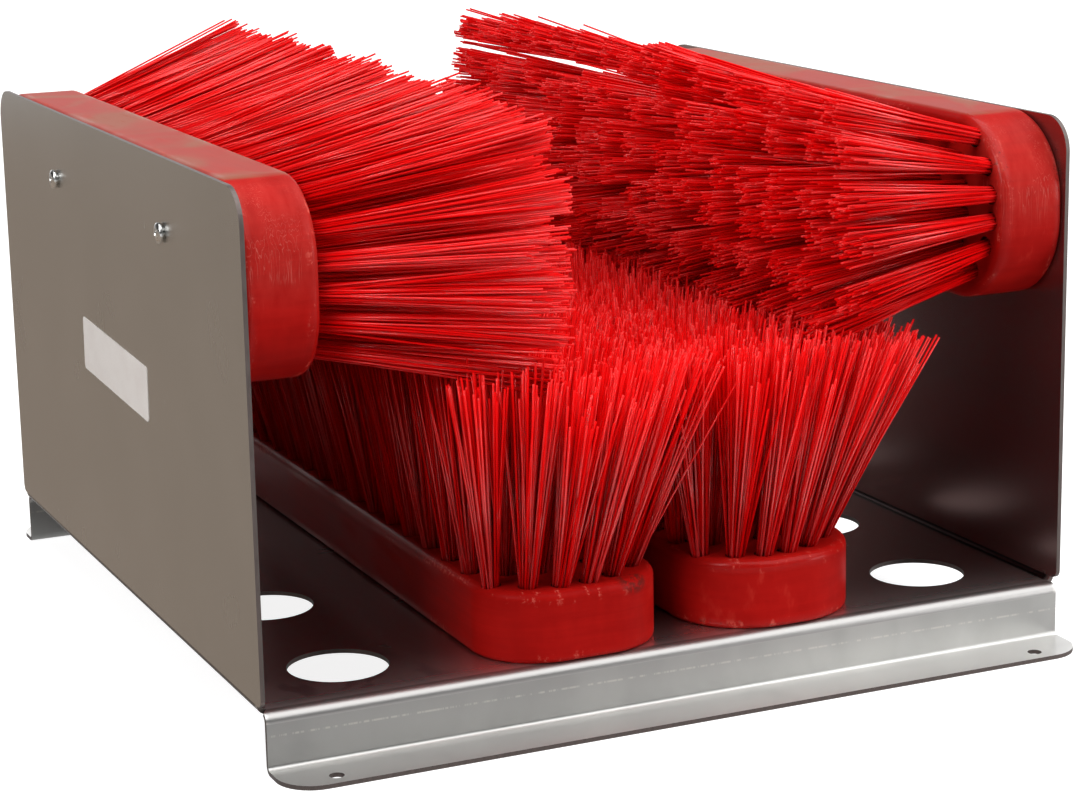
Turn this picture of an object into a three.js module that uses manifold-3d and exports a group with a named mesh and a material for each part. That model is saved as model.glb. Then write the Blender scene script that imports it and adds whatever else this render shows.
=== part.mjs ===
// Boot scraper: a folded sheet-steel tray with four screwed-on brush heads.
// Millimetres, +Z up, +Y to the back. The origin is on the ground under the middle of the tray.
import * as THREE from "three";
import { mergeVertices } from "three/addons/utils/BufferGeometryUtils.js";
import Module from "manifold-3d";

const wasm = await Module();
wasm.setup();

// Tray sheet
const sheet = 1.5;
const bendRadius = 1.5; // inside radius of every fold
const trayWidth = 300; // over the outer faces of the two walls
const trayDepth = 300; // over the outer faces of the two lips
const wallTop = 187;
const baseTop = 20.5; // the tray floor stands this high on its lips
const wallTopCorner = 12;
const wallHeelCorner = 3;
const reliefGap = 1; // slot between a wall and the end of a lip
const footReach = 20; // how far each foot stands out from its lip
const footCorner = 13;
const footHoleRadius = 2.5;
const footHoleFromSide = 19.5;
const footHoleFromLip = 13.7;
const drainRadius = 17;
const drainFromSide = 38.3;
const drainFromEnd = 34.2;
const drainPitch = 73.8;

// Brush blocks, all four alike
const blockWidth = 65.5;
const blockThick = 24.5;
const blockCorner = 26;
const blockEdge = 3;
const sliceThick = 4; // the slice of the block that the tufts stand in
const blockFromEnd = 1.5; // the blocks start this far behind the lip face
const wallBlockProud = 0.3; // the wall blocks end this far above the walls
const floorBlockGap = 11.3;
const floorPairShift = 3.6; // the two floor blocks lie a little right of the middle

// Tufts, measured on the face of a block
const tuftRows = 6;
const rowMargin = 6.5; // from the side of the block to the outer rows
const tuftPitch = 17.5;
const innerSetback = 7.3; // first tuft of the two middle rows from the end of the block
const secondSetback = 10.5;
const outerSetback = 18;
const tuftRoot = 3.8; // width of a tuft where it leaves the block
const tuftTip = 5.4;
const tuftSink = 0.5;
const bristleLength = 82;
const endLean = 17; // degrees, the lean of the first and last tufts along the block
const floorSideLean = 11; // degrees, the lean of a floor brush's outer rows
const wallTopLean = 18; // degrees, the top row of a wall brush rises
const wallBottomLean = -2; // and its bottom row droops
const bristleClearance = 1.5; // floor bristles stay this far below the wall bristles

// Screws
const shankRadius = 1.9;
const headRadius = 3.5;
const headHeight = 2.4;
const headCrown = 1.1; // rounded part of the head's height
const screwBite = 16; // length of shank inside the block
const screwGap = 0.3;
const tipLength = 3;
const recessWidth = 1;
const recessSpan = 3.9;
const recessDepth = 1.2;
const screwSpan = 134.8;
const wallScrewDrop = 25.4; // below the top of the wall

// Label on the left wall
const labelLength = 81;
const labelHeight = 19.6;
const labelThick = 0.2;
const labelCorner = 1.5;
const labelCentreY = -0.3;
const labelDrop = 84; // middle of the label below the top of the wall
const labelTilt = 2.6; // degrees, front end down

const cornerSteps = 8;
const bendSteps = 4;
const edgeSteps = 2;
const crownSteps = 3;
const roundSteps = 12;
const drainSteps = 32;
const past = 5; // how far a cutter runs past what it cuts

const baseBottom = baseTop - sheet;
const outerBend = bendRadius + sheet;
const halfWidth = trayWidth / 2;
const halfDepth = trayDepth / 2;
const blockLength = trayDepth - 2 * blockFromEnd;
const rowSpacing = (blockWidth - 2 * rowMargin) / (tuftRows - 1);
const outerRowU = blockWidth / 2 - rowMargin;
const rad = THREE.MathUtils.degToRad;

const steel = { color: 0x9c9a96, roughness: 0.35, metalness: 0.9 };
const redPaint = { color: 0xb3120f, roughness: 0.4, metalness: 0 };
const redBristle = { color: 0xd8121a, roughness: 0.5, metalness: 0 };
const zinc = { color: 0xc9ccce, roughness: 0.3, metalness: 0.9 };
const paper = { color: 0xeeece8, roughness: 0.7, metalness: 0 };

const part = new THREE.Group();

// A closed three.js geometry as a solid that can be joined and cut
function solid(geometry) {
  const bare = geometry.clone();
  bare.deleteAttribute("normal");
  bare.deleteAttribute("uv");
  const merged = mergeVertices(bare, 1e-4);
  return new wasm.Manifold(
    new wasm.Mesh({
      numProp: 3,
      vertProperties: merged.attributes.position.array,
      triVerts: new Uint32Array(merged.index.array),
    }),
  );
}

function geometryOf(body) {
  const mesh = body.getMesh();
  const geometry = new THREE.BufferGeometry();
  geometry.setAttribute("position", new THREE.BufferAttribute(mesh.vertProperties, 3));
  geometry.setIndex(new THREE.BufferAttribute(mesh.triVerts, 1));
  geometry.computeVertexNormals();
  return geometry;
}

function addNode(name, body, look) {
  const mesh = new THREE.Mesh(geometryOf(body), new THREE.MeshStandardMaterial(look));
  mesh.name = name;
  part.add(mesh);
}

// Rectangle with a radius of its own on its lower and upper corners
function plateShape(x0, x1, y0, y1, lowRadius, highRadius) {
  const shape = new THREE.Shape();
  shape.moveTo(x0 + lowRadius, y0);
  shape.lineTo(x1 - lowRadius, y0);
  shape.absarc(x1 - lowRadius, y0 + lowRadius, lowRadius, -Math.PI / 2, 0);
  shape.lineTo(x1, y1 - highRadius);
  shape.absarc(x1 - highRadius, y1 - highRadius, highRadius, 0, Math.PI / 2);
  shape.lineTo(x0 + highRadius, y1);
  shape.absarc(x0 + highRadius, y1 - highRadius, highRadius, Math.PI / 2, Math.PI);
  shape.lineTo(x0, y0 + lowRadius);
  shape.absarc(x0 + lowRadius, y0 + lowRadius, lowRadius, Math.PI, 1.5 * Math.PI);
  return shape;
}

function extrude(shape, depth, steps) {
  return new THREE.ExtrudeGeometry(shape, {
    depth,
    curveSegments: steps,
    bevelEnabled: false,
  });
}

// Turns a shape drawn as (y, z) and extruded along its normal so that it runs along +X
const alongX = new THREE.Matrix4().makeBasis(
  new THREE.Vector3(0, 1, 0),
  new THREE.Vector3(0, 0, 1),
  new THREE.Vector3(1, 0, 0),
);

// Turns a shape drawn as (x, z) and extruded along its normal so that it runs along -Y
const alongY = new THREE.Matrix4().makeBasis(
  new THREE.Vector3(1, 0, 0),
  new THREE.Vector3(0, 0, 1),
  new THREE.Vector3(0, -1, 0),
);

function drill(radius, x, y, z0, z1, steps) {
  const cylinder = new THREE.CylinderGeometry(radius, radius, z1 - z0, steps);
  cylinder.rotateX(Math.PI / 2);
  cylinder.translate(x, y, (z0 + z1) / 2);
  return solid(cylinder);
}

// Flat side walls with rounded corners
function wallPlate(side) {
  const shape = plateShape(
    -halfDepth,
    halfDepth,
    baseBottom + outerBend,
    wallTop,
    wallHeelCorner,
    wallTopCorner,
  );
  const plate = extrude(shape, sheet, cornerSteps).applyMatrix4(alongX);
  plate.translate(side > 0 ? halfWidth - sheet : -halfWidth, 0, 0);
  return solid(plate);
}

// The floor with the two folds that turn up into the walls
function floorChannel() {
  const inner = halfWidth - sheet;
  const legTop = baseTop + wallHeelCorner + outerBend;
  const shape = new THREE.Shape();
  shape.moveTo(-halfWidth, legTop);
  shape.lineTo(-halfWidth, baseBottom + outerBend);
  shape.absarc(-halfWidth + outerBend, baseBottom + outerBend, outerBend, Math.PI, 1.5 * Math.PI);
  shape.lineTo(halfWidth - outerBend, baseBottom);
  shape.absarc(halfWidth - outerBend, baseBottom + outerBend, outerBend, 1.5 * Math.PI, 2 * Math.PI);
  shape.lineTo(halfWidth, legTop);
  shape.lineTo(inner, legTop);
  shape.lineTo(inner, baseTop + bendRadius);
  shape.absarc(inner - bendRadius, baseTop + bendRadius, bendRadius, 2 * Math.PI, 1.5 * Math.PI, true);
  shape.lineTo(-inner + bendRadius, baseTop);
  shape.absarc(-inner + bendRadius, baseTop + bendRadius, bendRadius, 1.5 * Math.PI, Math.PI, true);
  shape.lineTo(-inner, legTop);
  const length = 2 * (halfDepth - outerBend - reliefGap);
  const channel = extrude(shape, length, bendSteps).applyMatrix4(alongY);
  channel.translate(0, length / 2, 0);
  return solid(channel);
}

// Front lip and foot in one folded strip: over the edge, down, and out along the ground
function lipAndFoot() {
  const face = -halfDepth;
  const inside = face + sheet;
  const shape = new THREE.Shape();
  const joint = face + outerBend + reliefGap + past;
  shape.moveTo(joint, baseTop);
  shape.lineTo(face + outerBend, baseTop);
  shape.absarc(face + outerBend, baseTop - outerBend, outerBend, Math.PI / 2, Math.PI);
  shape.lineTo(face, outerBend);
  shape.absarc(face - bendRadius, outerBend, bendRadius, 0, -Math.PI / 2, true);
  shape.lineTo(face - footReach, sheet);
  shape.lineTo(face - footReach, 0);
  shape.lineTo(face - bendRadius, 0);
  shape.absarc(face - bendRadius, outerBend, outerBend, -Math.PI / 2, 0);
  shape.lineTo(inside, baseBottom - bendRadius);
  shape.absarc(inside + bendRadius, baseBottom - bendRadius, bendRadius, Math.PI, Math.PI / 2, true);
  shape.lineTo(joint, baseBottom);
  const halfLip = halfWidth - sheet - reliefGap;
  const strip = extrude(shape, 2 * halfLip, bendSteps).applyMatrix4(alongX);
  strip.translate(-halfLip, 0, 0);
  const outline = extrude(footOutline(halfLip, face - footReach, joint), 2 * baseTop, cornerSteps);
  outline.translate(0, 0, -baseTop / 2);
  return solid(strip).intersect(solid(outline));
}

// The strip seen from above: square where it joins the floor, rounded at the toes
function footOutline(halfLip, toe, joint) {
  const shape = new THREE.Shape();
  shape.moveTo(halfLip, joint);
  shape.lineTo(-halfLip, joint);
  shape.lineTo(-halfLip, toe + footCorner);
  shape.absarc(-halfLip + footCorner, toe + footCorner, footCorner, Math.PI, 1.5 * Math.PI);
  shape.lineTo(halfLip - footCorner, toe);
  shape.absarc(halfLip - footCorner, toe + footCorner, footCorner, 1.5 * Math.PI, 2 * Math.PI);
  return shape;
}

function trayBody() {
  const front = lipAndFoot();
  let body = floorChannel().add(front).add(front.rotate([0, 0, 180]));
  body = body.add(wallPlate(-1)).add(wallPlate(1));
  const clear = shankRadius + screwGap;
  for (const side of [-1, 1]) {
    for (const end of [-1, 1]) {
      for (const fromEnd of [drainFromEnd, drainFromEnd + drainPitch]) {
        const drainX = side * (halfWidth - drainFromSide);
        const drainY = end * (halfDepth - fromEnd);
        const drain = drill(drainRadius, drainX, drainY, baseBottom - past, baseTop + past, drainSteps);
        body = body.subtract(drain);
      }
      const holeX = side * (halfWidth - footHoleFromSide);
      const holeY = end * (halfDepth + footHoleFromLip);
      body = body.subtract(drill(footHoleRadius, holeX, holeY, -past, sheet + past, roundSteps));

      const screwY = (end * screwSpan) / 2;
      const blockX = side * floorBlockX(side);
      body = body.subtract(drill(clear, blockX, screwY, baseBottom - past, baseTop + past, roundSteps));
      const across = new THREE.CylinderGeometry(clear, clear, sheet + 2 * past, roundSteps);
      across.rotateZ(Math.PI / 2);
      across.translate(side * (halfWidth - sheet / 2), screwY, wallTop - wallScrewDrop);
      body = body.subtract(solid(across));
    }
  }
  return body;
}

// Distance of a floor block's middle line from the middle of the tray, on its own side
function floorBlockX(side) {
  return (blockWidth + floorBlockGap) / 2 + side * floorPairShift;
}

// Where each brush sits: its frame has u across the block, v along it and w out of its bristle face
const wallBlockZ = wallTop + wallBlockProud - blockWidth / 2;
const blockStart = -halfDepth + blockFromEnd;

function floorFrame(side) {
  return new THREE.Matrix4().makeTranslation(side * floorBlockX(side), blockStart, baseTop);
}

function wallFrame(side) {
  const frame = new THREE.Matrix4().makeBasis(
    new THREE.Vector3(0, 0, side),
    new THREE.Vector3(0, 1, 0),
    new THREE.Vector3(-side, 0, 0),
  );
  frame.setPosition(side * (halfWidth - sheet), blockStart, wallBlockZ);
  return frame;
}

// A whole wooden block with eased edges, lying on its back
function wholeBlock() {
  const half = blockWidth / 2 - blockEdge;
  const corner = blockCorner - blockEdge;
  const shape = plateShape(-half, half, blockEdge, blockLength - blockEdge, corner, corner);
  const block = new THREE.ExtrudeGeometry(shape, {
    depth: blockThick - 2 * blockEdge,
    curveSegments: cornerSteps,
    bevelThickness: blockEdge,
    bevelSize: blockEdge,
    bevelSegments: edgeSteps,
  });
  block.translate(0, 0, blockEdge);
  return solid(block);
}

// A box over the block from height w0 to w1, for parting the slice from the rest
function layer(w0, w1) {
  const box = new THREE.BoxGeometry(blockWidth + 2 * past, blockLength + 2 * past, w1 - w0);
  box.translate(0, blockLength / 2, (w0 + w1) / 2);
  return solid(box);
}

function blockBody(frame, screwU) {
  const sliceFrom = blockThick - sliceThick;
  let body = wholeBlock().intersect(layer(-past, sliceFrom));
  for (const y of [-screwSpan / 2, screwSpan / 2]) {
    const pilot = drill(
      shankRadius + screwGap,
      screwU,
      y - blockStart,
      -past,
      screwBite + screwGap,
      roundSteps,
    );
    body = body.subtract(pilot);
  }
  return body.transform(frame.elements);
}

function setback(row) {
  const fromSide = Math.min(row, tuftRows - 1 - row);
  return [outerSetback, secondSetback, innerSetback][Math.min(fromSide, 2)];
}

// Root of every tuft on the face of a block: u across, v along.
// A staggered row starts half a pitch late.
function tuftPlaces(staggeredRow) {
  const places = [];
  for (let row = 0; row < tuftRows; row++) {
    const u = row * rowSpacing - outerRowU;
    const run = blockLength - 2 * setback(row);
    const steps = Math.round(run / tuftPitch);
    const late = row === staggeredRow ? 0.5 : 0;
    for (let i = 0; i + late <= steps; i++) {
      places.push({ u, v: setback(row) + (run * (i + late)) / steps });
    }
  }
  return places;
}

// All tufts of a brush as four-sided strands that flare a little, leaning out like a fan
function strands(places, sideLean, reach) {
  const positions = [];
  const index = [];
  const halfRun = blockLength / 2 - innerSetback;
  for (const { u, v } of places) {
    const lean = Math.tan(rad(sideLean(u / outerRowU)));
    const along = Math.tan(rad(endLean)) * ((v - blockLength / 2) / halfRun);
    const way = new THREE.Vector3(lean, along, 1).normalize();
    const top = way.clone().multiplyScalar(reach(way));
    const first = positions.length / 3;
    for (const [at, half] of [
      [way.clone().multiplyScalar(-tuftSink), tuftRoot / 2],
      [top, tuftTip / 2],
    ]) {
      for (const [a, b] of [[-1, -1], [1, -1], [1, 1], [-1, 1]]) {
        positions.push(u + at.x + a * half, v + at.y + b * half, blockThick + at.z);
      }
    }
    for (let i = 0; i < 4; i++) {
      const next = (i + 1) % 4;
      index.push(first + i, first + next, first + 4 + next);
      index.push(first + i, first + 4 + next, first + 4 + i);
    }
    index.push(first, first + 2, first + 1, first, first + 3, first + 2);
    index.push(first + 4, first + 5, first + 6, first + 4, first + 6, first + 7);
  }
  const geometry = new THREE.BufferGeometry();
  geometry.setAttribute("position", new THREE.Float32BufferAttribute(positions, 3));
  geometry.setIndex(index);
  return solid(geometry);
}

function bristleBody(frame, places, sideLean, reach) {
  const slice = wholeBlock().intersect(layer(blockThick - sliceThick, blockThick + past));
  return slice.add(strands(places, sideLean, reach)).transform(frame.elements);
}

// Height that the floor bristles may reach: just under the lowest strands of the wall brushes
const lowestDrop = bristleLength * Math.sin(rad(-wallBottomLean));
const wallStrandLowest = wallBlockZ - outerRowU - lowestDrop - tuftTip / 2;
const floorBristleTop = wallStrandLowest - bristleClearance - (baseTop + blockThick);

function floorReach(way) {
  return floorBristleTop / way.z;
}

function wallReach() {
  return bristleLength;
}

function addBrushes() {
  for (const [name, side] of [["left", -1], ["right", 1]]) {
    const onFloor = floorFrame(side);
    addNode(`block_floor_${name}`, blockBody(onFloor, 0), redPaint);
    const staggered = side > 0 ? 0 : -1;
    const places = tuftPlaces(staggered);
    const fan = (share) => floorSideLean * share;
    addNode(`bristles_floor_${name}`, bristleBody(onFloor, places, fan, floorReach), redBristle);

    const onWall = wallFrame(side);
    const screwU = side * (wallTop - wallScrewDrop - wallBlockZ);
    addNode(`block_wall_${name}`, blockBody(onWall, screwU), redPaint);
    const middle = (wallTopLean + wallBottomLean) / 2;
    const swing = (wallTopLean - wallBottomLean) / 2;
    const rise = (share) => side * middle + swing * share;
    addNode(`bristles_wall_${name}`, bristleBody(onWall, tuftPlaces(-1), rise, wallReach), redBristle);
  }
}

// Pan-head screw with a cross recess, its head seat at the origin and its shank along -Z
function screwBody() {
  const shank = sheet + screwBite;
  const profile = [
    new THREE.Vector2(0, -shank),
    new THREE.Vector2(shankRadius, -shank + tipLength),
    new THREE.Vector2(shankRadius, 0),
    new THREE.Vector2(headRadius, 0),
  ];
  for (let i = 0; i < crownSteps; i++) {
    const turn = ((i / crownSteps) * Math.PI) / 2;
    const height = headHeight - headCrown * (1 - Math.sin(turn));
    profile.push(new THREE.Vector2(headRadius * Math.cos(turn), height));
  }
  profile.push(new THREE.Vector2(0, headHeight));
  const turned = new THREE.LatheGeometry(profile, roundSteps).rotateX(Math.PI / 2);
  let body = solid(turned);
  for (const [wide, deep] of [[recessWidth, recessSpan], [recessSpan, recessWidth]]) {
    const slot = new THREE.BoxGeometry(wide, deep, 2 * recessDepth);
    slot.translate(0, 0, headHeight);
    body = body.subtract(solid(slot));
  }
  return body;
}

function addScrews() {
  const body = screwBody();
  for (const [end, y] of [["front", -screwSpan / 2], ["rear", screwSpan / 2]]) {
    for (const [name, side] of [["left", -1], ["right", 1]]) {
      const throughWall = body
        .rotate([0, side * 90, 0])
        .translate([side * halfWidth, y, wallTop - wallScrewDrop]);
      addNode(`screw_wall_${name}_${end}`, throughWall, zinc);
      const fromBelow = body
        .rotate([180, 0, 0])
        .translate([side * floorBlockX(side), y, baseBottom]);
      addNode(`screw_floor_${name}_${end}`, fromBelow, zinc);
    }
  }
}

// Blank label stuck on the outside of the left wall
function addLabel() {
  const shape = plateShape(
    -labelLength / 2,
    labelLength / 2,
    -labelHeight / 2,
    labelHeight / 2,
    labelCorner,
    labelCorner,
  );
  const label = extrude(shape, labelThick, bendSteps).rotateZ(rad(labelTilt)).applyMatrix4(alongX);
  label.translate(-halfWidth - labelThick, labelCentreY, wallTop - labelDrop);
  addNode("label", solid(label), paper);
}

addNode("tray", trayBody(), steel);
addBrushes();
addScrews();
addLabel();

export default part;
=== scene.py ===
"""Boot scraper: a folded satin steel tray with four red brushes screwed inside it.

Lengths are written in millimetres and made metres where a mesh is built.
"""

import math
import random

import bmesh
import bpy
import numpy as np
from mathutils import Matrix, Vector


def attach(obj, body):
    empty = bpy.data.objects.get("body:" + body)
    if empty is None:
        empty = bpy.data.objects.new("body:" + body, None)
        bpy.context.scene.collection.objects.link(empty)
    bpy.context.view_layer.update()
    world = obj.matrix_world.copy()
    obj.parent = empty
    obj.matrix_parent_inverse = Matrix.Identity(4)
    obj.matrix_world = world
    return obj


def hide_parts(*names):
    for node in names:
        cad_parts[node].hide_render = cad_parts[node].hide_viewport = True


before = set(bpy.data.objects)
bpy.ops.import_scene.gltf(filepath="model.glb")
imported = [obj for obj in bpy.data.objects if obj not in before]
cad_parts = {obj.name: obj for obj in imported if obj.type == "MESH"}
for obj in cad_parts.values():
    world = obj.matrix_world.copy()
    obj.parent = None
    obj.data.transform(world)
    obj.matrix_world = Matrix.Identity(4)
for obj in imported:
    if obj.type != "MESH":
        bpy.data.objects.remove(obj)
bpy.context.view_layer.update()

MM = 0.001
NEAR = 1e-3  # lengths this close count as equal
SNAP = 1e-4  # a cut through the flat blank goes through corners this close
UPRIGHT = 0.5  # a face whose normal rises less than this is a side

# Tray sheet
SHEET = 1.5
FOLD = 1.5  # inside radius of the sharper folds
LIP_FOLD = 3.8  # outside radius of the fold between the floor and a lip
WIDTH = 300
DEPTH = 300
WALL_TOP = 187
BASE_TOP = 20.5
FOOT_REACH = 20
FOOT_CORNER = 13
WALL_CORNER = 12
HEEL_CORNER = 3
RELIEF = 1  # gap between the foot of a wall and a lip
FOLD_STEPS = 8
CORNER_STEPS = dict(foot=10, heel=5, wall=12)
DEBURRED = 0.22
DEBURRED_ANGLE = 50
DRAIN_RADIUS = 17
DRAIN_SIDES = 48
DRAIN_X = 111.7
DRAIN_Y = (42.0, 115.8)
FOOT_HOLE_RADIUS = 2.5
FOOT_HOLE_SIDES = 20
FOOT_HOLE_X = 130.5
FOOT_HOLE_Y = 163.7

# Brush blocks
BLOCK_WIDTH = 65.5
BLOCK_LENGTH = 297
BLOCK_THICK = 24.5
FACE_EDGE = 3  # radius of the rounded edge around the face that holds the tufts
BACK_EDGE = 1.8
ROUND_STEPS = dict(corner=18, face=6, back=4)
BLOCK_SMOOTH = 40  # edges sharper than this stay sharp, in degrees
BLOCK_CORNER = {"floor": {-1: 24, 1: 28}, "wall": {-1: 26, 1: 30}}
FLOOR_BLOCK_X = {-1: 34.8, 1: 42.0}
WALL_BLOCK_Z = 154.55
PIT_DEPTH = 1.6
PIT_RADIUS = 3.35
PIT_SIDES = 16
PIT_STRAY = (0.25, 0.3)  # across and along the block
RIM_FADE = 2  # from the rubbed rim to plain paint
RIM_REACH = 0.1  # how far the rubbed rim reaches past a rounded edge
FACE_GAP = 0.01  # the rim stops this far below the face

# Tufts
ROWS = 6
PITCH = 17.5
SETBACK = (18, 10.5, 7.3)  # outer, second and inner rows, from the end of the block
BRISTLE = 81
BRISTLE_STRAY = 1
TUFT_STRAY = 0.022
GOLDEN_TURN = 2.39996  # radians, spreads the filaments evenly over a round tuft
SPOKE_STRAY = 0.25
ROOT_SINK = 0.2
BEND = 1.0
DOME = 1  # how much shorter the outermost filaments of a tuft are
ODD_SHARE = 0.03  # this part of the filaments strays again, ODD_STRAY times as far
ODD_STRAY = 3
SHORT_SHARE = 0.06  # this part is cut short, for each millimetre of uneven length
SHORT_BY = (2, 10)
TUFT_SHADE = 0.15  # how much the shade differs from tuft to tuft
SHADE_SHAPE = (2.2, 2.2)  # of the spread of shades in a tuft
TUFT_RADIUS = 3.1
FILAMENT_RADIUS = 0.36
FILAMENT_SIDES = 5
FILAMENTS = 58

# How each brush differs, left brush as -1 and right brush as 1. Its rows: outer is the distance
# of the outer rows from the middle of the rows, shift moves all rows to the right or up. Its
# leans, in degrees: spread at the outer rows, tilt of all rows to the right or up, droop of the
# front end, ends at the front and the rear end. Its filaments: splay and stray are slopes,
# uneven is how much their lengths differ.
FLOOR_TUFTS = {
    -1: dict(outer=25.5, shift=-2.0, spread=10.5, tilt=1.5, droop=0, ends=(17, 17)),
    1: dict(outer=23.25, shift=-2.8, spread=13, tilt=1.5, droop=0, ends=(17, 17)),
}
WALL_TUFTS = {
    -1: dict(outer=23.75, shift=1.5, spread=11, tilt=4, droop=4, ends=(20, 15)),
    1: dict(outer=23.25, shift=2.1, spread=10.5, tilt=4.5, droop=2, ends=(20, 11)),
}
ROOM = ((-148, -169.2, 22), (148, 169.2, 208.3))  # corners of the box that tips stay in
FLOOR_FILAMENTS = dict(splay=0.08, stray=0.026, uneven=1.4)
WALL_FILAMENTS = dict(splay=0.035, stray=0.015, uneven=0.6)
SEED_STEP = 5

# Screws
SCREW_Y = 67.4
SCREW_Z = 161.6
SCREW_SIDES = 32
SHANK_RADIUS = 1.9
SHANK_LENGTH = 17.5
POINT = 3
COLLAR_RADIUS = 2.1
COLLAR = 0.5  # gap between the sheet and the head
HEAD_RADIUS = 3.5
HEAD_BEVEL = 0.2
HEAD_LIFT = 0.02
HEAD_SIDE = (0.7, 1.4)  # from the sheet to the lower and the upper rim of the head
CROWN = 0.9
CROWN_TURN = 0.25  # radians from one point of the crown to the next
CROWN_STEPS = 5
RECESS = (4.4, 1.05, 2.6)  # length, width and height of each slot of the cross
RECESS_TAPER = (0.35, 0.7, 1)  # the foot of a slot as a part of its mouth
RECESS_CENTRE = 2.4
SCREW_SMOOTH = 35
SCREW_TURN = dict(start=0.5, side=0.9, each=0.01)  # how far each cross is turned, in radians

# Label
LABEL = (81, 19.6, 0.15)  # length, height and thickness
LABEL_CENTRE = (-0.3, 103)
LABEL_TILT = 2.6
LABEL_CORNER = 1.5
LABEL_CORNER_STEPS = 6
LABEL_GAP = 0.1  # from the sheet to the middle of the film

# Studio, in metres and watts
FLOOR_HALF = 14
FLOOR_GREY = (0.38, 0.38, 0.38)
FLOOR_GLOW = (0.86, 0.86, 0.86)
# What a mirror shows of the floor, as a part of its glow: close to the tray, a painted shadow,
# and what is added beneath it, a painted glow, and clear of it. The pairs are sums of fourth
# powers of the distances from the middle.
MIRRORED = dict(beneath=0.25, close=0.05, clear=0.27)
PAINTED_GLOW_ZONE = (0.00012, 0.0003)
PAINTED_SHADOW_EDGE = (0.00045, 0.0008)
CARD_SIZE = (1.5, 2.1)
CARD_CENTRE = (-0.905, 0.72, 0.001)
CARD_TONE = (0.355, 0.288, 0.235)
WORLD_LIGHT = 0.012
LAMP_AIM = (0, 0, 0.06)
LAMPS = {
    "ceiling_softbox": dict(place=(0.9, -0.5, 2.4), size=(4.6, 4.2), power=168),
    "front_softbox": dict(place=(1.5, -1.25, 0.35), size=(0.9, 0.6), power=12),
    "left_softbox": dict(place=(-1.4, -0.7, 1.1), size=(0.9, 0.9), power=18),
    "back_softbox": dict(place=(0.5, 2.5, 0.8), size=(3.2, 1.4), power=20),
}

# Camera, where the photograph was taken from: its place, and its turn around the object, its
# height angle and its roll in degrees
CAMERA_EYE = (-405.780, -941.518, 315.823)
CAMERA_ANGLES = (-24.0943, 13.2432, -1.1649)
CAMERA_SENSOR = 36
CAMERA_LENS = 92.553


# Finishes


class Signal:
    """A shader socket that takes part in plain arithmetic."""

    def __init__(self, finish, socket):
        self.finish = finish
        self.socket = socket

    def _math(self, operation, first, second):
        return self.finish.node("ShaderNodeMath", {"operation": operation}, {0: first, 1: second})

    def __add__(self, other):
        return self._math("ADD", self, other)

    def __radd__(self, other):
        return self._math("ADD", other, self)

    def __sub__(self, other):
        return self._math("SUBTRACT", self, other)

    def __rsub__(self, other):
        return self._math("SUBTRACT", other, self)

    def __mul__(self, other):
        return self._math("MULTIPLY", self, other)

    def __rmul__(self, other):
        return self._math("MULTIPLY", other, self)


class Finish:
    """A material with one Principled shader, whose plain numbers are given by socket name."""

    def __init__(self, name, **sockets):
        self.material = bpy.data.materials.new(name)
        self.material.use_nodes = True
        self.tree = self.material.node_tree
        self.tree.nodes.clear()
        self.shader = self.tree.nodes.new("ShaderNodeBsdfPrincipled")
        output = self.tree.nodes.new("ShaderNodeOutputMaterial")
        self.tree.links.new(self.shader.outputs[0], output.inputs[0])
        for socket, value in sockets.items():
            self.feed(self.shader.inputs[socket.replace("_", " ")], value)

    def feed(self, socket, value):
        if isinstance(value, Signal):
            self.tree.links.new(value.socket, socket)
        else:
            socket.default_value = value

    def node(self, kind, settings=None, sockets=None, output=0):
        made = self.tree.nodes.new(kind)
        for key, value in (settings or {}).items():
            setattr(made, key, value)
        for key, value in (sockets or {}).items():
            self.feed(made.inputs[key], value)
        return Signal(self, made.outputs[output])

    def place(self):
        """Object coordinates, in metres."""
        return self.node("ShaderNodeTexCoord", output="Object")

    def parts(self, vector, *axes):
        """The parts of a vector along each axis asked for: 0, 1 or 2."""
        return [
            self.node("ShaderNodeSeparateXYZ", None, {0: vector}, output=axis) for axis in axes
        ]

    def noise(self, place, scale=1, stretch=None, turn=(0, 0, 0), detail=2, rough=0.5, warp=0):
        """Soft noise from 0 to 1; where stretch is given, the place is turned and stretched."""
        if stretch:
            sockets = {"Vector": place, "Scale": stretch, "Rotation": turn}
            place = self.node("ShaderNodeMapping", None, sockets)
        sockets = {"Vector": place, "Scale": scale, "Detail": detail}
        sockets.update({"Roughness": rough, "Distortion": warp})
        return self.node("ShaderNodeTexNoise", None, sockets)

    def attribute(self, name):
        return self.node("ShaderNodeAttribute", {"attribute_name": name}, output="Fac")

    def step(self, value, low, high):
        """0 below low, 1 above high, smooth between."""
        return self.node(
            "ShaderNodeMapRange",
            {"interpolation_type": "SMOOTHSTEP"},
            {"Value": value, "From Min": low, "From Max": high},
        )

    def blend(self, mask, first, second):
        """first where mask is 0, second where it is 1; both are colours."""
        mixer = {"data_type": "RGBA", "clamp_factor": True}
        first = first if isinstance(first, Signal) else (*first, 1)
        second = second if isinstance(second, Signal) else (*second, 1)
        return self.node("ShaderNodeMix", mixer, {0: mask, 6: first, 7: second}, output=2)

    def emboss(self, height, strength, depth, under=None):
        sockets = {"Height": height, "Strength": strength, "Distance": depth}
        if under is not None:
            sockets["Normal"] = under
        return self.node("ShaderNodeBump", None, sockets)

    def finish(self, **sockets):
        for socket, value in sockets.items():
            self.feed(self.shader.inputs[socket.replace("_", " ")], value)
        return self.material


# Numbers of the finishes. NOISE: a scale in waves per metre, or a stretch of the place instead.
# LEVELS: where a mark starts and where it is complete in its noise. MIX, GLOSS and RELIEF:
# weights of a sum. STRENGTH: how strongly a tone is laid over the ones before it.

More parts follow.
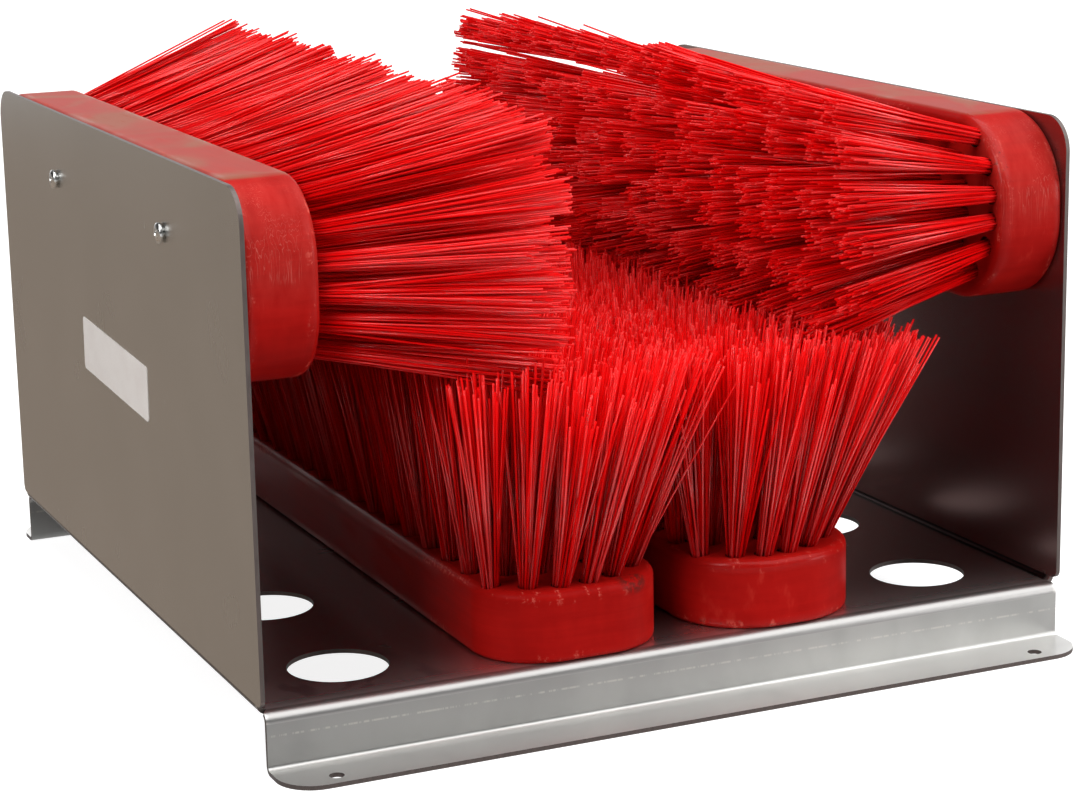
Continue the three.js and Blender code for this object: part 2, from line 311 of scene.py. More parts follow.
# Zones of the steel. Each pair is where a change starts and where it is complete. Places from
# front to rear and from side to side are squares of the distance from the middle of the blank,
# in square metres, so that one pair holds for both ends.
SMUDGE_ZONE = (0.0166, 0.0185)
PAINTED_FRONT_HIGHLIGHT_ZONE = (0.008, 0.0215)
INMOST_PAINTED_SHADE_ZONE = (0.012, 0.0205)
BLOT_ZONE = (0.0192, 0.0206)
DULL_ZONE = (0.0196, 0.0215)
CREASE_END = (0.0205, 0.0211)
FOLD_PAINTED_SHADE_ZONE = (0.0211, 0.0215)
LIP_ZONE = (0.0231, 0.02318)
FOOT_PAINTED_LIGHT_ZONE = (0.0276, 0.0284)
CREASE_START = (0.02148, 0.02158)
CREASE_STOP = (0.02225, 0.0224)
WALL_ZONE = (0.0216, 0.0222)
# The same for the folded tray: just inside the outer faces of its walls.
OUTER_FACE = (0.0221, 0.0223)
# These are plain distances in metres, from the middle or up from the ground.
ABOVE_FLOOR = (0.0212, 0.0225)
LEFT_LIP_PAINTED_SHADE = (-0.1, 0.08)
BLOT_REAR = (-0.118, -0.104)
BLOT_RIGHT = (-0.095, -0.07)
# Dotted marks: how they slant across the blank, where they lie and how wide they fade.
LIP_MARK = dict(slant=0.0016, place=0.02465, fade=2.0e-8)
FLOOR_MARK = dict(slant=0.0012, place=0.0204, fade=0.7e-8)

STEEL_TONES = dict(
    dull=(0.485, 0.481, 0.462),
    bright=(0.525, 0.521, 0.503),
    smudge=(0.26, 0.24, 0.25),
    # front: painted highlight, the floor paler towards the front and rear folds
    front=(0.68, 0.655, 0.645),
    # fold: painted shade where the floor starts to fold down to the lip, dimming its highlight
    fold=(0.37, 0.362, 0.355),
    # inmost: painted shade with a painted reflection of the red brushes, on the floor away from
    # its ends
    inmost_painted_shade=(0.25, 0.12, 0.11),
    # inside: painted shade with a painted reflection of the red brushes, on the inner faces of the
    # walls
    inside=(0.32, 0.13, 0.12),
    # crease: painted shadow in the inner corners between the floor and the walls
    crease=(0.035, 0.02, 0.02),
    blot=(0.2, 0.12, 0.15),
    # lip: painted shade, darker than the walls
    lip=(0.39, 0.388, 0.376),
    lip_streak=(0.45, 0.448, 0.433),
    # Painted shade: the left end of the lip is darker still.
    lip_left_painted_shade=(0.27, 0.268, 0.26),
    mark=(0.8, 0.76, 0.68),
    # foot: painted light, the feet are paler
    foot=(0.74, 0.735, 0.72),
)
STEEL_STRENGTH = dict(smudge=0.16, inmost_painted_shade=0.7, inside=0.7, lip_left_painted_shade=0.6, blot=0.5)
STEEL_MARKS = dict(lip=0.28, floor=0.12)
STEEL_NOISE = dict(
    line=dict(stretch=(9, 900, 1), detail=3, rough=0.6),
    cloud=dict(scale=14, detail=3, rough=0.55, warp=0.6),
    speck=dict(scale=620, rough=0.6),
    streak=dict(stretch=(34, 16, 1), detail=3, rough=0.55, warp=0.5),
    smudge=dict(scale=26, warp=0.8),
    dash=dict(stretch=(420, 4, 1), detail=4, rough=0.8),
    blot=dict(scale=48, warp=1.4),
)
STEEL_LEVELS = dict(
    tone=(0.34, 0.66),
    streak=(0.35, 0.7),
    smudge=(0.55, 0.85),
    dash=(0.44, 0.56),
    blot=(0.5, 0.58),
)
STEEL_MIX = dict(cloud=0.55, line=0.15, speck=0.3)
STEEL_GLOSS = dict(base=0.25, cloud=0.02, line=0.012, smudge=0.015, dull=0.09, lip=0.03)
STEEL_RELIEF = dict(line=0.3, speck=0.7)
# Both shares take away painted light: the pale band on the floor and the paler feet.
SMUDGED_FRONT = 0.5  # the share of a pale band that a smudge takes away
SMUDGED_FOOT = 0.3

# The cut edge is painted dark, as shade.
EDGE_PAINTED_SHADE_TONES = ((0.085, 0.068, 0.064), (0.17, 0.14, 0.13))
EDGE_GRAIN = dict(stretch=(900, 900, 160), detail=3)
EDGE_GLOSS = dict(base=0.38, grain=0.2)

PAINT_TONES = dict(
    deep=(0.3, 0.0045, 0.0035),
    light=(0.41, 0.0075, 0.0055),
    scuff=(0.6, 0.06, 0.04),
    scratch=(0.7, 0.2, 0.16),
    worn=(0.75, 0.16, 0.12),
    chip=(0.09, 0.012, 0.01),
    # Dusty and browner on top of the wall blocks, partly a painted sheen.
    dust_and_sheen=(0.25, 0.085, 0.05),
    stain=(0.08, 0.013, 0.01),
)
PAINT_STRENGTH = dict(scuff=0.18, brushed=0.12, scratch=0.26, worn=0.4, chip=0.6, stain=0.75)
PAINT_NOISE = dict(
    cloud=dict(scale=24, detail=3, rough=0.55, warp=0.5),
    stroke=dict(stretch=(40, 9, 420), detail=4, rough=0.6, warp=0.4),
    cross=dict(stretch=(300, 26, 110), turn=(0, 0.7, 0), detail=3, rough=0.6),
    grit=dict(scale=700, rough=0.7),
    hair=dict(stretch=(1000, 1000, 45), turn=(0, 0.9, 0), detail=1, rough=0.3),
    patch=dict(scale=90),
    drift=dict(scale=24, warp=0.8),
)
PAINT_LEVELS = dict(
    tone=(0.32, 0.68),
    patch=(0.45, 0.6),
    drift=(0.4, 0.62),
    scuff=(0.58, 0.7),
    worn=(0.56, 0.64),
    chip=(0.62, 0.68),
    stain=(0.42, 0.54),
    coat=(0.4, 0.6),
)
PAINT_MIX = dict(
    tone=dict(cloud=0.5, stroke=0.3, cross=0.2),
    scuff=dict(cross=0.6, cloud=0.4),
    worn=dict(grit=0.35, cross=0.65),
    chip=dict(grit=0.4, cloud=0.6),
    stain=dict(grit=0.5, cross=0.5),
    dust_and_sheen=dict(base=0.25, drift=0.6),
    spread=dict(aside=0.5, ahead=1, above=1),
)
PAINT_GLOSS = dict(base=0.36, cloud=0.14, scuff=0.12, worn=0.2)
PAINT_COAT = dict(base=0.01, rim=0.2)
PAINT_RELIEF = dict(
    brushed=dict(stroke=1, cross=0.6),
    fine=dict(grit=0.4, worn=-1, chip=-1, scratch=-1),
)
SCRATCH_WIDTH = 0.0004  # of the noise, squared
SCRATCHED_ENDS = (0.0145, 0.0195)  # squares of the distance from the middle, in square metres
SCRATCHED_HEIGHT = (0.142, 0.165)  # metres
DUST_AND_SHEEN_DEPTH = (0.0008, 0.0002)  # below the top of a wall block, in metres
STAIN_CENTRE = (-0.017, -0.1455, 0.0445)  # metres
STAIN_SPREAD = (0.000008, 0.00003)  # squares of the distance from its centre

# Painted shade in the pits that hold the tufts.
PIT_SHADE_TONES = ((0.05, 0.002, 0.002), (0.14, 0.005, 0.004))
PIT_CLOUD = dict(scale=400, detail=3)

FILAMENT_TONES = dict(
    deep=(0.66, 0.0003, 0.0004),
    light=(0.88, 0.002, 0.003),
    root=(0.7, 0.001, 0.002),
    # Painted highlight: glossy filaments are pinker.
    gleam=(0.98, 0.06, 0.06),
    # Painted reflection of the floor: glossy filaments low above it are pinker still.
    low=(0.85, 0.3, 0.3),
    # Painted glint: the cut end of a glossy filament is pale.
    tip=(0.98, 0.2, 0.18),
    # Painted shade: low tips behind the front tufts are darker.
    shaded=(0.45, 0.0002, 0.0003),
)
FILAMENT_STRENGTH = dict(root=0.8, gleam=0.18, low=0.13, tip=0.15, shaded=0.45)
FILAMENT_RIPPLE = dict(scale=130)
FILAMENT_MIX = dict(gleam=dict(shade=1, ripple=0.3), outer=dict(end=0.5, tip=0.5))
FILAMENT_GLOSS = dict(base=0.34, shade=0.14, root=0.3)
FILAMENT_COAT = dict(base=0.04, gleam=0.85)
SHADED_COAT = 0.7  # the share of the coat that the shading takes away
GLEAM_LEVEL = (0.58, 0.8)
# Places along a filament are parts of its length, the others are metres.
ROOT_SHARE = (0.05, 0.14)
OUTER_SHARE = (0.8, 0.98)
TIP_SHARE = (0.993, 0.998)
SHADED_SHARE = (0.6, 0.9)
SHADED_FROM = (-0.1, -0.03)
SHADED_BELOW = (0.125, 0.145)
PAINTED_SHEEN_BELOW = (0.078, 0.1)

ZINC_TONES = ((0.62, 0.62, 0.6), (0.83, 0.84, 0.84))
ZINC_CLOUD = dict(scale=380, detail=3, rough=0.6)
ZINC_TURNING = dict(stretch=(900, 900, 3000))
ZINC_GLOSS = dict(base=0.16, cloud=0.16, turned=0.08)

FILM_TONES = ((0.95, 0.89, 0.85), (0.88, 0.81, 0.77))
FILM_NOISE = dict(
    cloud=dict(scale=60, detail=3),
    ripple=dict(stretch=(1, 30, 55), warp=1),
    grain=dict(scale=1500, detail=1),
)
FILM_MIX = dict(cloud=0.7, grain=0.3)
FILM_LEVEL = (0.35, 0.7)
FILM_GLOSS = dict(base=0.42, cloud=0.15)
FILM_RELIEF = dict(ripple=1, grain=0.05)


def weigh(weights, **signals):
    """The base, where the weights have one, plus every signal times its weight."""
    total = weights.get("base", 0)
    for name, signal in signals.items():
        total = total + weights[name] * signal
    return total


def satin_steel():
    """Rolled sheet with soft clouds and a fine grain, dotted marks, and paler bands at its ends
    that are painted light.

    The floor by the front and rear folds and the feet are painted paler as light. The lip is
    painted darker as shade, more so at its left end, and so is a narrow band where the floor
    starts to fold down to it, to dim its highlight. The floor away from its ends and the inner
    faces of the walls are browner, as painted shade with a painted reflection of the red brushes,
    with a painted shadow in the crease between them, and there are blots near the front left
    drain hole.
    """
    steel = Finish("satin_sheet_steel", Metallic=0.97)
    tones = STEEL_TONES
    levels = STEEL_LEVELS
    strength = STEEL_STRENGTH
    blank = steel.node("ShaderNodeUVMap", {"uv_map": "blank"})
    place = steel.place()
    across, along = steel.parts(blank, 0, 1)
    outward, height = steel.parts(place, 0, 2)
    aside = across * across
    ahead = along * along

    line = steel.noise(blank, **STEEL_NOISE["line"])
    cloud = steel.noise(place, **STEEL_NOISE["cloud"])
    speck = steel.noise(place, **STEEL_NOISE["speck"])
    streak = steel.noise(blank, **STEEL_NOISE["streak"])
    smudge = steel.step(steel.noise(place, **STEEL_NOISE["smudge"]), *levels["smudge"])
    dash = steel.step(steel.noise(blank, **STEEL_NOISE["dash"]), *levels["dash"])

    lip = steel.step(ahead, *LIP_ZONE)
    level = 1 - steel.step(aside, *WALL_ZONE)
    tone = weigh(STEEL_MIX, cloud=cloud, line=line, speck=speck)
    colour = steel.blend(steel.step(tone, *levels["tone"]), tones["dull"], tones["bright"])
    # Painted shade: the lip is darker than the rest of the sheet.
    colour = steel.blend(lip, colour, tones["lip"])
    lip_streak = lip * steel.step(streak, *levels["streak"])
    colour = steel.blend(lip_streak, colour, tones["lip_streak"])
    near_fold = steel.step(ahead, *SMUDGE_ZONE)
    colour = steel.blend(strength["smudge"] * near_fold * smudge, colour, tones["smudge"])
    # Painted highlight: the floor grows paler towards the front and rear folds, less so under
    # smudges.
    front = level * steel.step(ahead, *PAINTED_FRONT_HIGHLIGHT_ZONE) * (1 - lip)
    colour = steel.blend(front * (1 - SMUDGED_FRONT * smudge), colour, tones["front"])
    # Painted shade: a narrow band where the floor starts to fold down to the lip is darker,
    # dimming its highlight.
    fold_painted_shade = level * steel.step(ahead, *FOLD_PAINTED_SHADE_ZONE) * (1 - lip)
    colour = steel.blend(fold_painted_shade, colour, tones["fold"])
    # Painted shade and a painted reflection of the red brushes: the floor is browner away from its
    # ends.
    inmost_painted_shade = level * (1 - steel.step(ahead, *INMOST_PAINTED_SHADE_ZONE)) * (1 - lip)
    colour = steel.blend(strength["inmost_painted_shade"] * inmost_painted_shade, colour, tones["inmost_painted_shade"])
    # Painted shade and a painted reflection of the red brushes: the inner faces of the walls,
    # above the floor, are browner.
    inside = steel.step(height, *ABOVE_FLOOR)
    inside = inside * (1 - steel.step(outward * outward, *OUTER_FACE))
    colour = steel.blend(strength["inside"] * inside, colour, tones["inside"])
    # Painted shadow: the inner corner between the floor and each wall is nearly black.
    crease = steel.step(aside, *CREASE_START) * (1 - steel.step(aside, *CREASE_STOP))
    crease = crease * (1 - steel.step(ahead, *CREASE_END))
    colour = steel.blend(crease, colour, tones["crease"])
    # Painted shade: the left end of the lip is darker still.
    left_lip_painted_shade = lip * (1 - steel.step(across, *LEFT_LIP_PAINTED_SHADE))
    colour = steel.blend(strength["lip_left_painted_shade"] * left_lip_painted_shade, colour, tones["lip_left_painted_shade"])
    corner = 1 - steel.step(along, *BLOT_REAR)
    corner = corner * (1 - steel.step(across, *BLOT_RIGHT)) * level
    corner = corner * (1 - steel.step(ahead, *BLOT_ZONE))
    blot = corner * steel.step(steel.noise(place, **STEEL_NOISE["blot"]), *levels["blot"])
    colour = steel.blend(strength["blot"] * blot, colour, tones["blot"])
    # Painted light: the feet are paler, less so under smudges.
    foot = steel.step(ahead, *FOOT_PAINTED_LIGHT_ZONE)
    colour = steel.blend(foot * (1 - SMUDGED_FOOT * smudge), colour, tones["foot"])
    marks = []
    for row in (LIP_MARK, FLOOR_MARK):
        off = ahead - across * row["slant"] - row["place"]
        marks.append(dash * (1 - steel.step(off * off, 0.0, row["fade"])))
    marked = weigh(STEEL_MARKS, lip=lip * marks[0], floor=marks[1])
    colour = steel.blend(marked, colour, tones["mark"])

    dull = level * steel.step(ahead, *DULL_ZONE)
    gloss = weigh(STEEL_GLOSS, cloud=cloud, line=line, smudge=smudge, dull=dull, lip=lip * streak)
    grain = weigh(STEEL_RELIEF, line=line, speck=speck)
    relief = steel.emboss(grain, strength=0.02, depth=0.00002)
    return steel.finish(Base_Color=colour, Roughness=gloss, Normal=relief)


def sheared_edge():
    """The cut edge of the sheet, duller than its faces and painted dark as shade."""
    edge = Finish("sheared_steel_edge", Metallic=0.9)
    grain = edge.noise(edge.place(), **EDGE_GRAIN)
    colour = edge.blend(grain, *EDGE_PAINTED_SHADE_TONES)
    return edge.finish(Base_Color=colour, Roughness=weigh(EDGE_GLOSS, grain=grain))


def red_paint():
    """Thick paint laid on wood with a brush.

    It is scratched at the upper ends, rubbed at the rims, dusty with a painted sheen on top of
    the wall blocks and stained at the front right of the left floor block.
    """
    paint = Finish("red_brush_paint", Specular_IOR_Level=0.025, Coat_Roughness=0.22)
    tones = PAINT_TONES
    levels = PAINT_LEVELS
    strength = PAINT_STRENGTH
    mix = PAINT_MIX
    place = paint.place()
    rim = paint.attribute("rim")
    across, along, height = paint.parts(place, 0, 1, 2)

    cloud = paint.noise(place, **PAINT_NOISE["cloud"])
    stroke = paint.noise(place, **PAINT_NOISE["stroke"])
    cross = paint.noise(place, **PAINT_NOISE["cross"])
    grit = paint.noise(place, **PAINT_NOISE["grit"])
    hair = paint.noise(place, **PAINT_NOISE["hair"])
    patch = paint.step(paint.noise(place, **PAINT_NOISE["patch"]), *levels["patch"])
    drift = paint.step(paint.noise(place, **PAINT_NOISE["drift"]), *levels["drift"])

    tone = weigh(mix["tone"], cloud=cloud, stroke=stroke, cross=cross)
    colour = paint.blend(paint.step(tone, *levels["tone"]), tones["deep"], tones["light"])
    ends = paint.step(along * along, *SCRATCHED_ENDS) * paint.step(height, *SCRATCHED_HEIGHT)
    near_middle = (hair - 0.5) * (hair - 0.5)
    scratch = (1 - paint.step(near_middle, 0.0, SCRATCH_WIDTH)) * ends * patch
    scuff = paint.step(weigh(mix["scuff"], cross=cross, cloud=cloud), *levels["scuff"])
    colour = paint.blend(strength["scuff"] * scuff, colour, tones["scuff"])
    colour = paint.blend(strength["brushed"] * ends * cross, colour, tones["scratch"])
    colour = paint.blend(strength["scratch"] * scratch, colour, tones["scratch"])
    worn = rim * paint.step(weigh(mix["worn"], grit=grit, cross=cross), *levels["worn"])
    colour = paint.blend(strength["worn"] * worn, colour, tones["worn"])
    chip = rim * paint.step(weigh(mix["chip"], grit=grit, cloud=cloud), *levels["chip"])
    colour = paint.blend(strength["chip"] * chip, colour, tones["chip"])
    # Dusty and browner along the top of each wall block, partly a painted sheen.
    top = (WALL_BLOCK_Z + BLOCK_WIDTH / 2) * MM
    dust_and_sheen = paint.step(height, *(top - depth for depth in DUST_AND_SHEEN_DEPTH))
    colour = paint.blend(dust_and_sheen * weigh(mix["dust_and_sheen"], drift=drift), colour, tones["dust_and_sheen"])
    aside, ahead, above = (
        part - centre for part, centre in zip((across, along, height), STAIN_CENTRE)
    )
    spread = weigh(mix["spread"], aside=aside * aside, ahead=ahead * ahead, above=above * above)
    stain = paint.step(weigh(mix["stain"], grit=grit, cross=cross), *levels["stain"])
    stain = stain * (1 - paint.step(spread, *STAIN_SPREAD))
    colour = paint.blend(strength["stain"] * stain, colour, tones["stain"])

    brushed = weigh(PAINT_RELIEF["brushed"], stroke=stroke, cross=cross)
    fine = weigh(PAINT_RELIEF["fine"], grit=grit, worn=worn, chip=chip, scratch=scratch)
    relief = paint.emboss(brushed, strength=0.3, depth=0.0002)
    relief = paint.emboss(fine, strength=0.35, depth=0.00009, under=relief)
    return paint.finish(
        Base_Color=colour,
        Roughness=weigh(PAINT_GLOSS, cloud=cloud, scuff=scuff, worn=worn),
        Coat_Weight=weigh(PAINT_COAT, rim=rim * paint.step(cloud, *levels["coat"])),
        Normal=relief,
    )


def pit_shadow():
    """The drilled pit at the foot of a tuft, painted dark red as shade."""
    pit = Finish("tuft_hole", Roughness=0.8)
    cloud = pit.noise(pit.place(), **PIT_CLOUD)
    return pit.finish(Base_Color=pit.blend(cloud, *PIT_SHADE_TONES))


def red_filament():
    """Clear red plastic filament, each its own shade, with a dull root.

    Some filaments are glossy and pinker, a painted highlight, pinker still low above the floor, a
    painted reflection of the floor, and pale at the cut end, a painted glint. Low tips behind the
    front tufts are darker, a painted shade.
    """
    plastic = Finish(
        "red_filament",
        Specular_IOR_Level=0.06,
        Coat_Roughness=0.16,
        Subsurface_Weight=0.45,
        Subsurface_Radius=(1.0, 0.04, 0.04),
        Subsurface_Scale=0.0015,
    )
    tones = FILAMENT_TONES
    strength = FILAMENT_STRENGTH
    shade = plastic.attribute("shade")
    along = plastic.attribute("along")
    depth, height = plastic.parts(plastic.place(), 1, 2)
    ripple = plastic.noise(plastic.place(), **FILAMENT_RIPPLE)

    # The glossy filaments; their colour also carries a painted highlight.
    gleam = weigh(FILAMENT_MIX["gleam"], shade=shade, ripple=ripple)
    gleam = plastic.step(gleam, *GLEAM_LEVEL)
    root = 1 - plastic.step(along, *ROOT_SHARE)
    tip = plastic.step(along, *TIP_SHARE)
    outer = weigh(FILAMENT_MIX["outer"], end=plastic.step(along, *OUTER_SHARE), tip=tip)
    # Painted reflection of the floor: glossy filaments low above it are pinker.
    low = 1 - plastic.step(height, *PAINTED_SHEEN_BELOW)
    # Painted shade on low tips behind the front tufts.
    shaded = plastic.step(along, *SHADED_SHARE) * plastic.step(depth, *SHADED_FROM)
    shaded = shaded * (1 - plastic.step(height, *SHADED_BELOW))

    colour = plastic.blend(shade, tones["deep"], tones["light"])
    for mark, mask in (
        ("root", root),
        ("gleam", gleam),
        ("low", gleam * low),
        # Painted glint at the cut end of glossy filaments.
        ("tip", tip * gleam),
        ("shaded", shaded),
    ):
        colour = plastic.blend(strength[mark] * mask, colour, tones[mark])
    coat = (1 - SHADED_COAT * shaded) * (1 - outer) * (1 - root)
    return plastic.finish(
        Base_Color=colour,
        Roughness=weigh(FILAMENT_GLOSS, shade=shade, root=root),
        Coat_Weight=coat * weigh(FILAMENT_COAT, gleam=gleam),
    )


def bright_zinc():
    """Bright plated screw with a faint dull mottling."""
    zinc = Finish("bright_zinc", Metallic=1.0)
    cloud = zinc.noise(zinc.place(), **ZINC_CLOUD)
    turned = zinc.noise(zinc.place(), **ZINC_TURNING)
    return zinc.finish(
        Base_Color=zinc.blend(cloud, *ZINC_TONES),
        Roughness=weigh(ZINC_GLOSS, cloud=cloud, turned=turned),
        Normal=zinc.emboss(cloud, strength=0.2, depth=0.00006),
    )


def white_film():
    """Blank satin film with faint grey clouds and ripples."""
    film = Finish("blank_label_film", Coat_Weight=0.15, Coat_Roughness=0.3)
    place = film.place()
    cloud = film.noise(place, **FILM_NOISE["cloud"])
    ripple = film.noise(place, **FILM_NOISE["ripple"])
    grain = film.noise(place, **FILM_NOISE["grain"])
    tone = film.step(weigh(FILM_MIX, cloud=cloud, grain=grain), *FILM_LEVEL)
    wrinkles = weigh(FILM_RELIEF, ripple=ripple, grain=grain)
    return film.finish(
        Base_Color=film.blend(tone, *FILM_TONES),
        Roughness=weigh(FILM_GLOSS, cloud=cloud),
        Normal=film.emboss(wrinkles, strength=0.3, depth=0.0004),
    )


STEEL = satin_steel()
EDGE = sheared_edge()
PAINT = red_paint()
PIT_SHADE = pit_shadow()
PLASTIC = red_filament()
ZINC = bright_zinc()
FILM = white_film()


# Common steps


def piece_from(bm, name, materials, node_names, smooth_angle=None):
    """The bmesh, in millimetres, as a finished piece that stands for its CAD nodes."""
    bmesh.ops.scale(bm, vec=(MM, MM, MM), verts=bm.verts)
    mesh = bpy.data.meshes.new(name)
    bm.to_mesh(mesh)
    bm.free()
    for material in materials:
        mesh.materials.append(material)
    piece = bpy.data.objects.new(name, mesh)
    bpy.context.scene.collection.objects.link(piece)
    if smooth_angle is not None:
        mesh.set_sharp_from_angle(angle=math.radians(smooth_angle))
    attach(piece, "root")
    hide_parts(*node_names)
    return piece


def carve(body, cutter, materials=()):
    """The body with the cutter's closed shapes taken out; takes and gives a bmesh."""
    things = []
    for name, bm in (("carved_body", body), ("cutter", cutter)):
        mesh = bpy.data.meshes.new(name)
        bm.to_mesh(mesh)
        bm.free()
        for material in materials:
            mesh.materials.append(material)
        things.append(bpy.data.objects.new(name, mesh))
        bpy.context.scene.collection.objects.link(things[-1])
    cut = things[0].modifiers.new("cut", "BOOLEAN")
    cut.operation = "DIFFERENCE"
    cut.solver = "EXACT"
    cut.material_mode = "TRANSFER"
    cut.object = things[1]
    seen = things[0].evaluated_get(bpy.context.evaluated_depsgraph_get())
    result = bmesh.new()
    result.from_mesh(seen.to_mesh())
    for thing in things:
        bpy.data.objects.remove(thing)
    return result


def corner_arc(x, y, radius, start, steps):
    """Points that round a corner at x, y, clockwise; start is 0 for a right one, 90 for a left."""
    centre_x = x + radius if start else x - radius
    centre_y = y - radius
    turns = [math.radians(start + 90 * i / steps) for i in range(steps, -1, -1)]
    return [
        (centre_x + radius * math.cos(a), centre_y + radius * math.sin(a)) for a in turns
    ]


def round_edges(bm, edges, radius, steps):
    bmesh.ops.bevel(
        bm,
        geom=edges,
        offset=radius,
        segments=steps,
        profile=0.5,
        affect="EDGES",
        material=-1,
    )


def ring(bm, points):
    """A closed loop of edges through flat points."""
    verts = [bm.verts.new((x, y, 0)) for x, y in points]
    return [bm.edges.new((a, b)) for a, b in zip(verts, verts[1:] + verts[:1])]


# Tray


def fold(flat_start, radius, rise, distance):
    """Where a distance along the blank lands after a quarter fold: (out, up).

    rise is 1 for a fold that goes up, or else -1.
    """
    if distance <= flat_start:
        return distance, 0.0
    turn = (distance - flat_start) / radius
    if turn <= math.pi / 2:
        return (
            flat_start + radius * math.sin(turn),
            rise * radius * (1 - math.cos(turn)),
        )
    past = distance - flat_start - radius * math.pi / 2
    return flat_start + radius, rise * (radius + past)


def tray():
    """The blank is cut flat with its holes, then folded and given its thickness.

    The blank is the face that is the top of the floor, the inside of the walls and the
    front of the lips.
    """
    quarter = math.pi / 2
    outer_fold = FOLD + SHEET
    floor_x = WIDTH / 2 - outer_fold
    wall_start = floor_x + FOLD * quarter
    wall_end = wall_start + WALL_TOP - BASE_TOP - FOLD
    floor_y = DEPTH / 2 - LIP_FOLD
    lip_start = floor_y + LIP_FOLD * quarter
    lip_drop = BASE_TOP - LIP_FOLD - SHEET - FOLD
    foot_fold = lip_start + lip_drop
    foot_start = foot_fold + FOLD * quarter
    toe = foot_start + FOOT_REACH - FOLD
    lip_end = WIDTH / 2 - SHEET
    strip_end = DEPTH / 2 - outer_fold - RELIEF
    wall_half = DEPTH / 2

    corner = [
        (0, toe),
        *corner_arc(lip_end, toe, FOOT_CORNER, 0, CORNER_STEPS["foot"]),
        (lip_end, strip_end + 2 * RELIEF),
        (floor_x, strip_end),
        (wall_start, strip_end),
        *corner_arc(wall_start, wall_half, HEEL_CORNER, 90, CORNER_STEPS["heel"]),
        *corner_arc(wall_end, wall_half, WALL_CORNER, 0, CORNER_STEPS["wall"]),
        (wall_end, 0),
    ]
    right_front = [(x, -y) for x, y in reversed(corner[1:-1])]
    right = corner[1:] + right_front
    left = [(-x, y) for x, y in reversed(right)]
    outline = [corner[0], *right, (0, -toe), *left]

    bm = bmesh.new()
    edges = ring(bm, outline)
    holes = [
        (sx * DRAIN_X, sy * y, DRAIN_RADIUS, DRAIN_SIDES)
        for sx in (-1, 1)
        for sy in (-1, 1)
        for y in DRAIN_Y
    ]
    foot_hole = foot_start + FOOT_HOLE_Y - DEPTH / 2 - FOLD
    holes += [
        (sx * FOOT_HOLE_X, sy * foot_hole, FOOT_HOLE_RADIUS, FOOT_HOLE_SIDES)
        for sx in (-1, 1)
        for sy in (-1, 1)
    ]
    for x, y, radius, sides in holes:
        made = bmesh.ops.create_circle(
            bm, segments=sides, radius=radius, matrix=Matrix.Translation((x, y, 0))
        )
        edges += list({e for v in made["verts"] for e in v.link_edges})
    bmesh.ops.triangle_fill(bm, use_beauty=True, use_dissolve=False, edges=edges)

    lines = []
    for start, radius, x, y in (
        (floor_x, FOLD, 1, 0),
        (floor_y, LIP_FOLD, 0, 1),
        (foot_fold, FOLD, 0, 1),
    ):
        for i in range(FOLD_STEPS + 1):
            out = start + radius * quarter * i / FOLD_STEPS
            lines += [(-out * x, -out * y), (out * x, out * y)]
    for x, y in lines:
        bmesh.ops.bisect_plane(
            bm,
            geom=bm.verts[:] + bm.edges[:] + bm.faces[:],
            dist=SNAP,
            plane_co=(x, y, 0),
            plane_no=(1, 0, 0) if x else (0, 1, 0),
        )
    uv = bm.loops.layers.uv.new("blank")
    for face in bm.faces:
        if face.normal.z < 0:
            face.normal_flip()
        face.smooth = True
        for loop in face.loops:
            loop[uv].uv = (loop.vert.co.x * MM, loop.vert.co.y * MM)

    for vert in bm.verts:
        x, y, _ = vert.co
        on_lip = abs(y) > strip_end + NEAR and abs(x) < wall_start - NEAR
        if on_lip:
            out, up = fold(floor_y, LIP_FOLD, -1, min(abs(y), foot_fold))
            if abs(y) > foot_fold:
                turn = min((abs(y) - foot_fold) / FOLD, quarter)
                out = DEPTH / 2 + FOLD * (1 - math.cos(turn))
                up = SHEET + FOLD * (1 - math.sin(turn)) - BASE_TOP
                out += max(0, abs(y) - foot_start)
            vert.co = (x, math.copysign(out, y), BASE_TOP + up)
        else:
            out, up = fold(floor_x, FOLD, 1, abs(x))
            vert.co = (math.copysign(out, x), y, BASE_TOP + up)

    piece = piece_from(bm, "tray_sheet", [STEEL, EDGE], ["tray"])
    thick = piece.modifiers.new("thickness", "SOLIDIFY")
    thick.thickness = SHEET * MM
    thick.offset = -1
    thick.use_even_offset = True
    thick.material_offset_rim = 1
    edge = piece.modifiers.new("deburred_edge", "BEVEL")
    edge.width = DEBURRED * MM
    edge.segments = 2
    edge.limit_method = "ANGLE"
    edge.angle_limit = math.radians(DEBURRED_ANGLE)
    flat = piece.modifiers.new("flat_panels", "WEIGHTED_NORMAL")
    flat.keep_sharp = True
    flat.weight = 100
    return piece


# Brushes


def floor_frame(side):
    place = (side * FLOOR_BLOCK_X[side], -BLOCK_LENGTH / 2, BASE_TOP)
    return Matrix.Translation(place)


def wall_frame(side):
    turn = Matrix(((0, 0, -side, 0), (0, 1, 0, 0), (side, 0, 0, 0), (0, 0, 0, 1)))
    place = (side * (WIDTH / 2 - SHEET), -BLOCK_LENGTH / 2, WALL_BLOCK_Z)
    return Matrix.Translation(place) @ turn


def tuft_places(rows, sense):
    """Root of every tuft on the face of a block: u across, v along.

    sense is 1 where u runs to the right or up, or else -1.
    """
    places = []
    for row in range(ROWS):
        u = rows["outer"] * (2 * row / (ROWS - 1) - 1) + sense * rows["shift"]
        back = SETBACK[min(row, ROWS - 1 - row)]
        run = BLOCK_LENGTH - 2 * back
        count = round(run / PITCH)
        places += [(u, back + run * i / count) for i in range(count + 1)]
    return places


